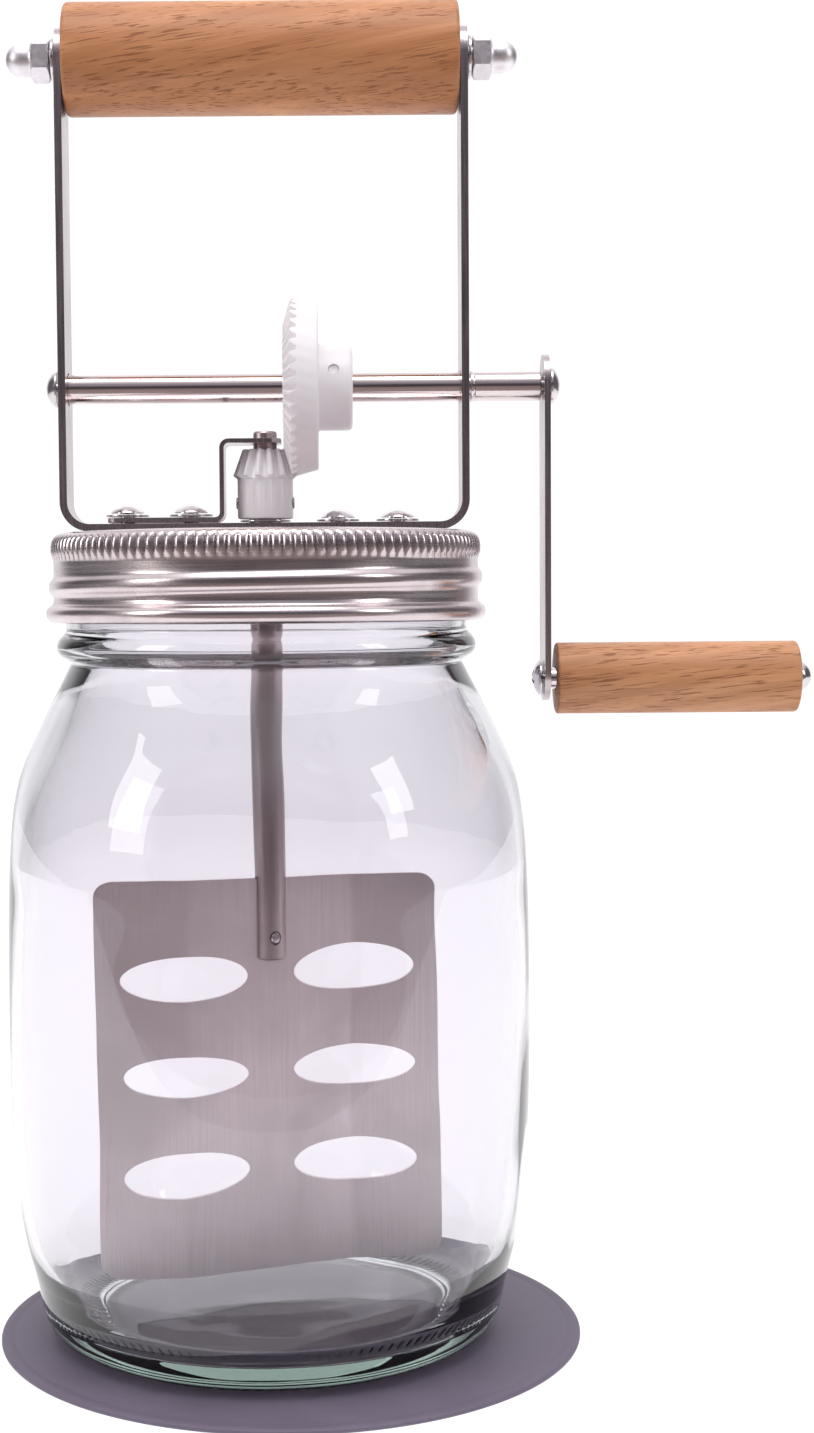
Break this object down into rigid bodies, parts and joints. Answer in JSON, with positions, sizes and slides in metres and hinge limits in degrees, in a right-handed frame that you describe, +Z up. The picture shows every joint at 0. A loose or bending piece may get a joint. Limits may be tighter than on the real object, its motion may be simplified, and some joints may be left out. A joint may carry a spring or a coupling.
{
  "type": "butter churn",
  "caption": "Hand-cranked butter churn: a glass jar with a steel screw lid that carries a frame with a wooden handle, a crank, bevel gears and a folded, slotted paddle on a rod.",
  "frame": {"origin": "on the jar's axis, on the underside of the mat that the jar stands on", "axes": "+Z up along the jar's and the dasher's axis; +X towards the crank arm, along the drive shaft; +Y away from the side that the picture shows"},
  "size_m": [0.1666, 0.119, 0.2704],
  "materials": {
    "mat_silicone": "matte, faintly mauve grey silicone",
    "clear_glass": "clear moulded glass, faint green at the heel",
    "seal_silicone": "matte white silicone",
    "lid_steel": "spun and pressed satin stainless steel",
    "sheet_steel": "brushed stainless sheet",
    "shaft_steel": "drawn, lightly polished stainless bar",
    "fastener_steel": "bright stainless fasteners",
    "beech_wood": "oiled beech with dark flecks",
    "white_nylon": "natural, slightly translucent nylon"
  },
  "bodies": {
    "jar": {"base_mat": "mat_silicone", "glass_jar": "clear_glass"},
    "seal": {"lid_gasket": "seal_silicone"},
    "lid": {"screw_lid": "lid_steel", "frame": "sheet_steel", "pinion_bracket": "sheet_steel", "rivet_1": "fastener_steel", "rivet_2": "fastener_steel", "rivet_3": "fastener_steel", "rivet_4": "fastener_steel", "rivet_washer_1": "fastener_steel", "rivet_washer_2": "fastener_steel", "rivet_washer_3": "fastener_steel", "rivet_washer_4": "fastener_steel", "shaft_bushing": "white_nylon", "top_handle": "beech_wood", "handle_rod": "shaft_steel", "handle_washer_left": "shaft_steel", "handle_washer_right": "shaft_steel", "acorn_nut_left": "fastener_steel", "acorn_nut_right": "fastener_steel"},
    "dasher": {"paddle_shaft": "shaft_steel", "pinion_gear": "white_nylon", "pinion_set_screw_left": "shaft_steel", "pinion_set_screw_right": "shaft_steel", "thrust_washer": "fastener_steel", "paddle": "sheet_steel", "paddle_pin": "fastener_steel"},
    "crank": {"drive_shaft": "shaft_steel", "drive_gear": "white_nylon", "gear_set_screw": "shaft_steel", "shaft_clip": "shaft_steel", "shaft_end_screw": "fastener_steel", "crank_arm": "sheet_steel", "crank_arm_screw": "fastener_steel", "grip_spindle": "shaft_steel", "grip_screw_inner": "fastener_steel", "grip_screw_outer": "fastener_steel"},
    "grip": {"crank_grip": "beech_wood"}
  },
  "joints": [
    {"name": "lid_lift", "type": "slide", "parent": "jar", "child": "seal", "axis": [0, 0, 1], "range_m": [0, 0.155]},
    {"name": "lid_turn", "type": "hinge", "parent": "seal", "child": "lid", "pos_m": [0, 0, 0.1644], "axis": [0, 0, 1], "range_deg": [0, 450]},
    {"name": "crank_spin", "type": "hinge", "parent": "lid", "child": "crank", "pos_m": [0, 0, 0.1935], "axis": [1, 0, 0], "continuous": true},
    {"name": "dasher_spin", "type": "hinge", "parent": "lid", "child": "dasher", "pos_m": [0, 0, 0.1935], "axis": [0, 0, 1], "continuous": true},
    {"name": "grip_spin", "type": "hinge", "parent": "crank", "child": "grip", "pos_m": [0.0833, 0, 0.1343], "axis": [1, 0, 0], "continuous": true}
  ],
  "couplings": [
    {"joint": "dasher_spin", "follows": "crank_spin", "ratio": 3}
  ]
}
